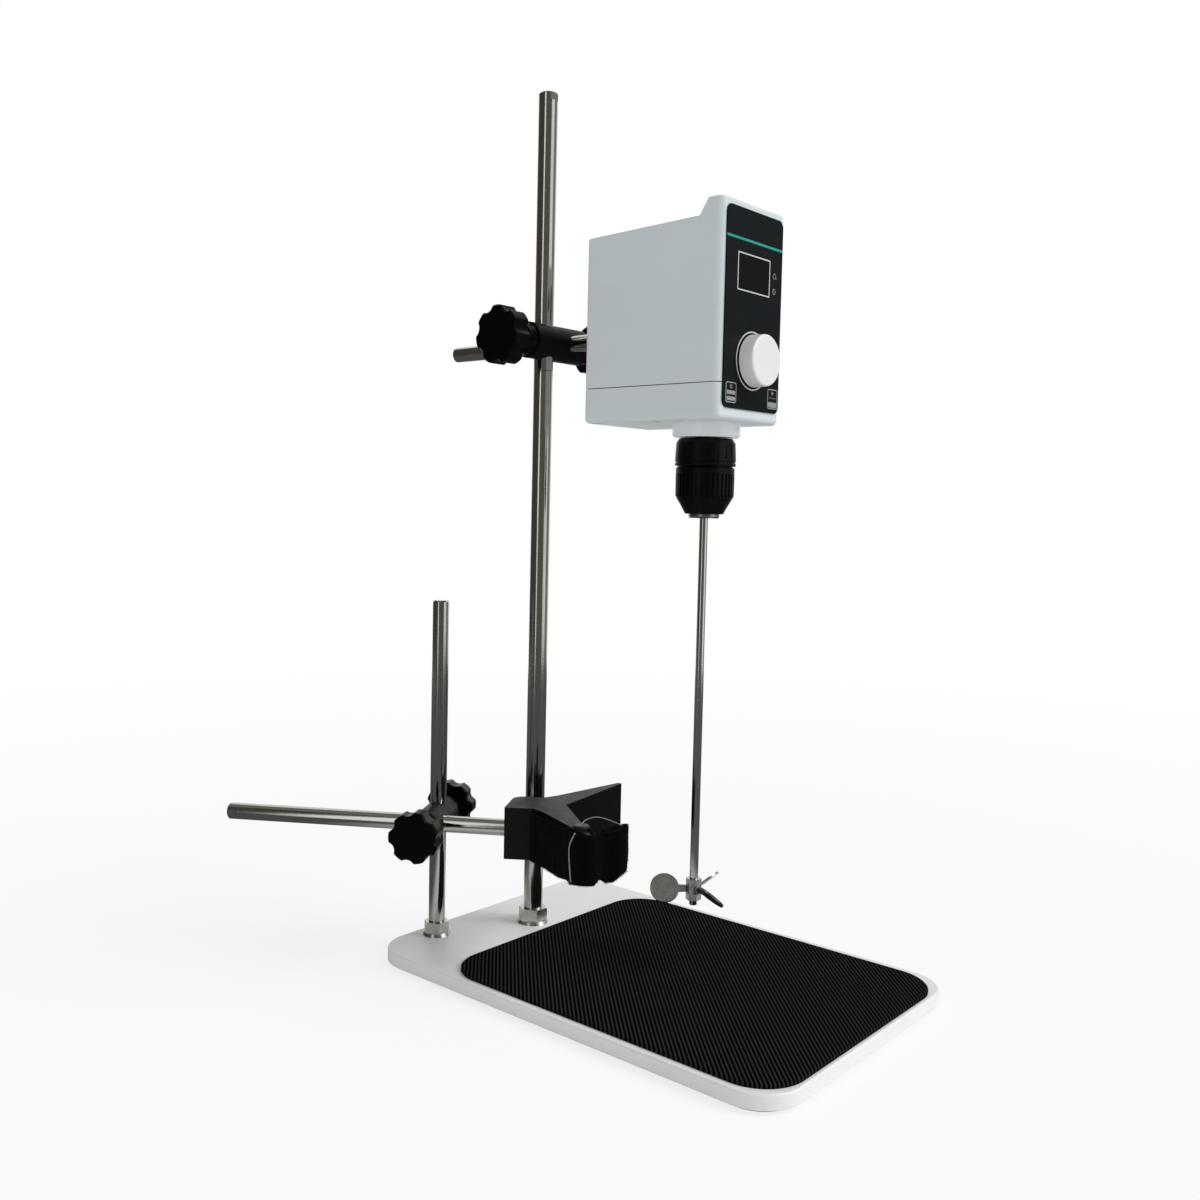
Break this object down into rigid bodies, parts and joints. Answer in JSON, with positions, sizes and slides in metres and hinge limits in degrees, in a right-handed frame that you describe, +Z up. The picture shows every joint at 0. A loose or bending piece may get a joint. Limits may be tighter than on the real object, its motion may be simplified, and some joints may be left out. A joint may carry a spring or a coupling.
{
  "type": "overhead stirrer",
  "caption": "Compact overhead stirrer with a geared motor head, keyless chuck, shaft and propeller, held by a boss on a plate stand that also carries a strap-and-V vessel clamp.",
  "frame": {"origin": "centre of the stand's underside, on the rubber underlay that rests on the bench", "axes": "+Z up; the front panel faces -Y; the columns stand near the +Y edge of the plate"},
  "size_m": [0.2352, 0.3718, 0.528],
  "materials": {
    "plate_grey": "satin",
    "mat_black": "matte",
    "underlay_black": "matte",
    "rod_stainless": "polished",
    "nut_steel": "satin",
    "boss_black": "satin",
    "grip_black": "semi-gloss",
    "screw_steel": "satin",
    "housing_white": "satin",
    "collar_white": "gloss",
    "panel_black": "satin",
    "display_clear": "gloss",
    "display_black": "matte",
    "board_green": "satin",
    "knob_white": "satin",
    "socket_black": "satin",
    "motor_can": "satin",
    "gear_acetal": "satin",
    "pinion_brass": "satin",
    "bearing_steel": "satin",
    "bridge_aluminium": "satin",
    "chuck_black": "satin",
    "chuck_steel": "satin",
    "clamp_charcoal": "matte",
    "strap_black": "fuzzy"
  },
  "bodies": {
    "stand": {"base_underlay": "underlay_black", "base_plate": "plate_grey", "base_mat": "mat_black", "lower_column": "rod_stainless", "tall_column_nut": "nut_steel", "short_column_nut": "nut_steel"},
    "upper_column": {"upper_column": "rod_stainless"},
    "main_boss": {"main_boss": "boss_black"},
    "main_column_knob": {"main_column_knob": "grip_black", "main_column_screw": "screw_steel"},
    "main_rod_knob": {"main_rod_knob": "grip_black", "main_rod_screw": "screw_steel"},
    "support_rod": {"support_rod": "rod_stainless"},
    "head": {"rod_mount": "bridge_aluminium", "rod_set_screw": "screw_steel", "lower_housing": "housing_white", "upper_housing": "housing_white", "housing_screws": "screw_steel", "front_panel": "panel_black", "display_window": "display_clear", "display_module": "display_black", "circuit_board": "board_green", "encoder_body": "socket_black", "switch_frame": "socket_black", "dc_jack": "socket_black", "bearing_bridge": "bridge_aluminium", "gearbox_screws": "screw_steel", "upper_bearing": "bearing_steel", "lower_bearing": "bearing_steel", "bearing_collar": "collar_white", "motor": "motor_can"},
    "encoder_shaft": {"encoder_shaft": "screw_steel"},
    "control_knob": {"control_knob": "knob_white"},
    "power_rocker": {"power_rocker": "socket_black"},
    "spindle": {"spindle": "chuck_steel", "spindle_circlip": "screw_steel", "spindle_gear": "gear_acetal", "chuck_body": "chuck_steel", "chuck_rear_sleeve": "chuck_black"},
    "motor_rotor": {"motor_shaft": "screw_steel", "motor_pinion": "pinion_brass"},
    "chuck_sleeve": {"chuck_front_sleeve": "chuck_black", "chuck_nut": "chuck_steel"},
    "chuck_jaw_1": {"chuck_jaw_1": "chuck_steel"},
    "chuck_jaw_2": {"chuck_jaw_2": "chuck_steel"},
    "chuck_jaw_3": {"chuck_jaw_3": "chuck_steel"},
    "stirring_shaft": {"stirring_shaft": "rod_stainless", "propeller": "rod_stainless", "propeller_nuts": "nut_steel"},
    "short_column": {"short_column": "rod_stainless"},
    "small_boss": {"small_boss": "boss_black"},
    "small_rod_knob": {"small_rod_knob": "grip_black", "small_rod_screw": "screw_steel"},
    "small_column_knob": {"small_column_knob": "grip_black", "small_column_screw": "screw_steel"},
    "clamp_rod": {"clamp_rod": "rod_stainless"},
    "vessel_clamp": {"vessel_clamp": "clamp_charcoal", "clamp_set_screw": "screw_steel", "strap_pin": "grip_black", "vessel_strap": "strap_black"}
  },
  "joints": [
    {"name": "column_swivel", "type": "hinge", "parent": "stand", "child": "upper_column", "pos_m": [0.0024, 0.1005, 0.42], "axis": [0, 0, 1], "range_deg": [-10, 60]},
    {"name": "main_boss_height", "type": "slide", "parent": "upper_column", "child": "main_boss", "axis": [0, 0, 1], "range_m": [-0.018, 0.12]},
    {"name": "main_column_knob_turn", "type": "hinge", "parent": "main_boss", "child": "main_column_knob", "pos_m": [-0.02, 0.1005, 0.377], "axis": [1, 0, 0], "range_deg": [0, 360]},
    {"name": "main_rod_knob_turn", "type": "hinge", "parent": "main_boss", "child": "main_rod_knob", "pos_m": [0.04, 0.1005, 0.377], "axis": [1, 0, 0], "range_deg": [0, 360]},
    {"name": "support_rod_reach", "type": "slide", "parent": "main_boss", "child": "support_rod", "axis": [0, 1, 0], "range_m": [-0.07, 0.02]},
    {"name": "head_tilt", "type": "hinge", "parent": "support_rod", "child": "head", "pos_m": [0.0182, 0.05, 0.377], "axis": [0, 1, 0], "range_deg": [-20, 3]},
    {"name": "knob_press", "type": "slide", "parent": "head", "child": "encoder_shaft", "axis": [0, 1, 0], "range_m": [0, 0.0005], "stiffness_N_per_m": 4000, "springref_m": -0.0005},
    {"name": "knob_turn", "type": "hinge", "parent": "encoder_shaft", "child": "control_knob", "pos_m": [0.0182, -0.046, 0.3582], "axis": [0, 1, 0], "continuous": true},
    {"name": "power_rocker_tilt", "type": "hinge", "parent": "head", "child": "power_rocker", "pos_m": [0.0322, 0.0514, 0.408], "axis": [1, 0, 0], "range_deg": [0, 15]},
    {"name": "spindle_spin", "type": "hinge", "parent": "head", "child": "spindle", "pos_m": [0.0182, -0.0135, 0.31], "axis": [0, 0, 1], "continuous": true},
    {"name": "motor_spin", "type": "hinge", "parent": "head", "child": "motor_rotor", "pos_m": [0.0182, 0.0165, 0.34], "axis": [0, 0, 1], "continuous": true},
    {"name": "chuck_sleeve_turn", "type": "hinge", "parent": "spindle", "child": "chuck_sleeve", "pos_m": [0.0182, -0.0135, 0.285], "axis": [0, 0, 1], "range_deg": [0, 1080]},
    {"name": "jaw_1_slide", "type": "slide", "parent": "spindle", "child": "chuck_jaw_1", "axis": [0, 0.2419, 0.9703], "range_m": [0, 0.0075]},
    {"name": "jaw_2_slide", "type": "slide", "parent": "spindle", "child": "chuck_jaw_2", "axis": [-0.2095, -0.121, 0.9703], "range_m": [0, 0.0075]},
    {"name": "jaw_3_slide", "type": "slide", "parent": "spindle", "child": "chuck_jaw_3", "axis": [0.2095, -0.121, 0.9703], "range_m": [0, 0.0075]},
    {"name": "stirring_shaft_depth", "type": "slide", "parent": "spindle", "child": "stirring_shaft", "axis": [0, 0, 1], "range_m": [-0.008, 0.005]},
    {"name": "short_column_swivel", "type": "hinge", "parent": "stand", "child": "short_column", "pos_m": [-0.055, 0.128, 0.15], "axis": [0, 0, 1], "range_deg": [-10, 10]},
    {"name": "small_boss_height", "type": "slide", "parent": "short_column", "child": "small_boss", "axis": [0, 0, 1], "range_m": [-0.02, 0.1]},
    {"name": "small_rod_knob_turn", "type": "hinge", "parent": "small_boss", "child": "small_rod_knob", "pos_m": [-0.08553, 0.10892, 0.0837], "axis": [0.848, 0.5299, 0], "range_deg": [0, 360]},
    {"name": "small_column_knob_turn", "type": "hinge", "parent": "small_boss", "child": "small_column_knob", "pos_m": [-0.03804, 0.1386, 0.0837], "axis": [0.848, 0.5299, 0], "range_deg": [0, 360]},
    {"name": "clamp_rod_reach", "type": "slide", "parent": "small_boss", "child": "clamp_rod", "axis": [0.5299, -0.848, 0], "range_m": [-0.025, 0.025]},
    {"name": "vessel_clamp_tilt", "type": "hinge", "parent": "clamp_rod", "child": "vessel_clamp", "pos_m": [-0.03942, 0.07288, 0.0837], "axis": [0.5299, -0.848, 0], "range_deg": [-20, 20]}
  ],
  "couplings": [
    {"joint": "motor_spin", "follows": "spindle_spin", "ratio": -3},
    {"joint": "chuck_sleeve_turn", "follows": "jaw_1_slide", "rad_per_m": 2513},
    {"joint": "jaw_2_slide", "follows": "jaw_1_slide", "ratio": 1},
    {"joint": "jaw_3_slide", "follows": "jaw_1_slide", "ratio": 1}
  ]
}
